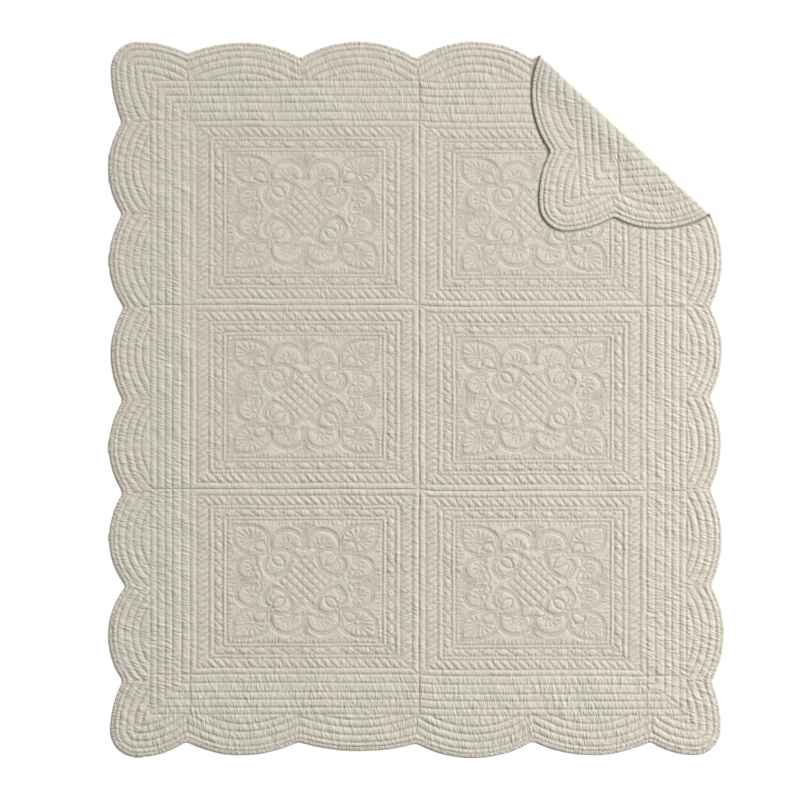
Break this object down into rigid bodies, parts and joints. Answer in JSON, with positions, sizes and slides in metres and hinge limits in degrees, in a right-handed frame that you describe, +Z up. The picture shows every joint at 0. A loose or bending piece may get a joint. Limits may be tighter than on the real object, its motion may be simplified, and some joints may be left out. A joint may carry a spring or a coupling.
{
  "type": "quilted throw",
  "caption": "Whole-cloth quilted throw with a scalloped, bound edge, laid flat with one corner turned over to show its backing.",
  "frame": {"origin": "on the surface that the throw lies on, under the middle of its overall width and length", "axes": "+Y along the throw's length, towards the end whose right-hand corner is turned over; +X across its width, towards the side of that corner; +Z up, out of the face of the cloth"},
  "size_m": [1.524, 1.772, 0.0161],
  "materials": {
    "face_cloth": "matt ivory cotton, quilted",
    "back_cloth": "matt ivory cotton, quilted",
    "binding_cloth": "matt ivory cotton strip"
  },
  "bodies": {
    "root": {"quilt_face": "face_cloth", "quilt_back": "back_cloth", "edge_binding": "binding_cloth"}
  },
  "joints": []
}
